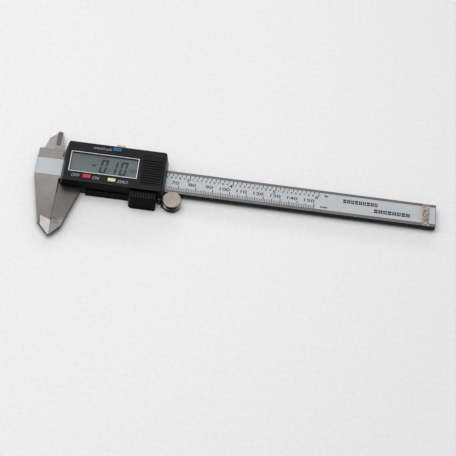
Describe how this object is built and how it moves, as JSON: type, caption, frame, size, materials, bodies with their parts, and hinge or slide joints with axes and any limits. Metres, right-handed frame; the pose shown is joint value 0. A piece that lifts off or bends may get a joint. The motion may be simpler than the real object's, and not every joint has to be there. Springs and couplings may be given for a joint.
{
  "type": "digital caliper",
  "caption": "Digital caliper with a steel beam, a sliding display housing, outside and inside jaws, a depth rod, a thumb roller, a lock screw and keys.",
  "frame": {"origin": "on the beam's centre line at the outside measuring plane with the jaws closed, in the plane of the slider's back, on which the caliper rests", "axes": "+X along the beam towards its free end, +Y towards the inside jaws, +Z out of the display"},
  "size_m": [0.2365, 0.0754, 0.0143],
  "materials": {
    "beam_steel": "ground stainless",
    "circuit_strip": "glass fibre laminate",
    "label_film": "printed silver film",
    "band_foil": "stippled foil",
    "stop_steel": "ground",
    "screw_steel": "zinc plated",
    "frame_steel": "ground stainless",
    "gib_brass": "rolled",
    "rod_steel": "drawn",
    "pin_steel": "turned",
    "back_film": "plain film",
    "grip_plastic": "moulded black",
    "bracket_steel": "spring strip",
    "pad_nylon": "natural nylon",
    "lock_nickel": "nickel plated",
    "roller_nickel": "nickel plated, satin",
    "housing_plastic": "moulded black, satin",
    "bezel_silver": "satin silver",
    "window_clear": "clear acrylic",
    "lcd_glass": "grey-green liquid crystal panel",
    "zebra_rubber": "layered conductive rubber",
    "board_green": "solder mask",
    "sensor_copper": "copper pattern under lacquer",
    "chip_resin": "black resin",
    "screw_black": "blackened",
    "button_red": "moulded",
    "button_yellow": "moulded",
    "button_blue": "moulded",
    "dome_steel": "pressed",
    "cover_plastic": "moulded black, ribbed",
    "cell_steel": "nickel plated",
    "contact_nickel": "nickel plated"
  },
  "bodies": {
    "beam": {"main_beam": "beam_steel", "stator_strip": "circuit_strip", "scale_label": "label_film", "end_band": "band_foil", "end_stop": "stop_steel", "end_stop_screws": "screw_steel"},
    "slider": {"slider_frame": "frame_steel", "gib_strip": "gib_brass", "gib_screws": "screw_steel", "depth_rod": "rod_steel", "rod_pins": "pin_steel", "back_label": "back_film", "thumb_grip": "grip_plastic", "roller_bracket": "bracket_steel", "roller_axle": "pin_steel", "bracket_screw": "screw_steel", "front_housing": "housing_plastic", "display_bezel": "bezel_silver", "display_window": "window_clear", "lcd_panel": "lcd_glass", "zebra_strips": "zebra_rubber", "main_board": "board_green", "sensor_film": "sensor_copper", "chip_blob": "chip_resin", "board_screws": "screw_steel", "housing_screws": "screw_black", "power_dome": "dome_steel", "zero_dome": "dome_steel", "unit_dome": "dome_steel", "battery_cell": "cell_steel", "contact_negative": "contact_nickel", "contact_positive": "contact_nickel"},
    "lock_tip": {"lock_pad": "pad_nylon"},
    "lock_knob": {"lock_screw": "lock_nickel"},
    "roller": {"thumb_roller": "roller_nickel"},
    "power_key": {"power_button": "button_red"},
    "zero_key": {"zero_button": "button_yellow"},
    "unit_key": {"unit_button": "button_blue"},
    "cover": {"battery_cover": "cover_plastic"}
  },
  "joints": [
    {"name": "slider_slide", "type": "slide", "parent": "beam", "child": "slider", "axis": [1, 0, 0], "range_m": [0, 0.15]},
    {"name": "roller_spin", "type": "hinge", "parent": "slider", "child": "roller", "pos_m": [0.0672, -0.01357, 0], "axis": [0, 0, 1], "range_deg": [0, 1560]},
    {"name": "lock_turn", "type": "hinge", "parent": "slider", "child": "lock_knob", "pos_m": [0.0328, 0.015, 0.00375], "axis": [0, -1, 0], "range_deg": [0, 270]},
    {"name": "lock_press", "type": "slide", "parent": "slider", "child": "lock_tip", "axis": [0, -1, 0], "range_m": [0, 0.00038]},
    {"name": "power_press", "type": "slide", "parent": "slider", "child": "power_key", "axis": [0, 0, -1], "range_m": [0, 0.0005], "stiffness_N_per_m": 1200, "deforming": ["power_dome"]},
    {"name": "zero_press", "type": "slide", "parent": "slider", "child": "zero_key", "axis": [0, 0, -1], "range_m": [0, 0.0005], "stiffness_N_per_m": 1200, "deforming": ["zero_dome"]},
    {"name": "unit_press", "type": "slide", "parent": "slider", "child": "unit_key", "axis": [0, 0, -1], "range_m": [0, 0.0005], "stiffness_N_per_m": 1200, "deforming": ["unit_dome"]},
    {"name": "cover_slide", "type": "slide", "parent": "slider", "child": "cover", "axis": [1, 0, 0], "range_m": [0, 0.016]}
  ],
  "couplings": [
    {"joint": "roller_spin", "follows": "slider_slide", "rad_per_m": 180.18},
    {"joint": "lock_press", "follows": "lock_turn", "m_per_rad": 0.000079577}
  ]
}
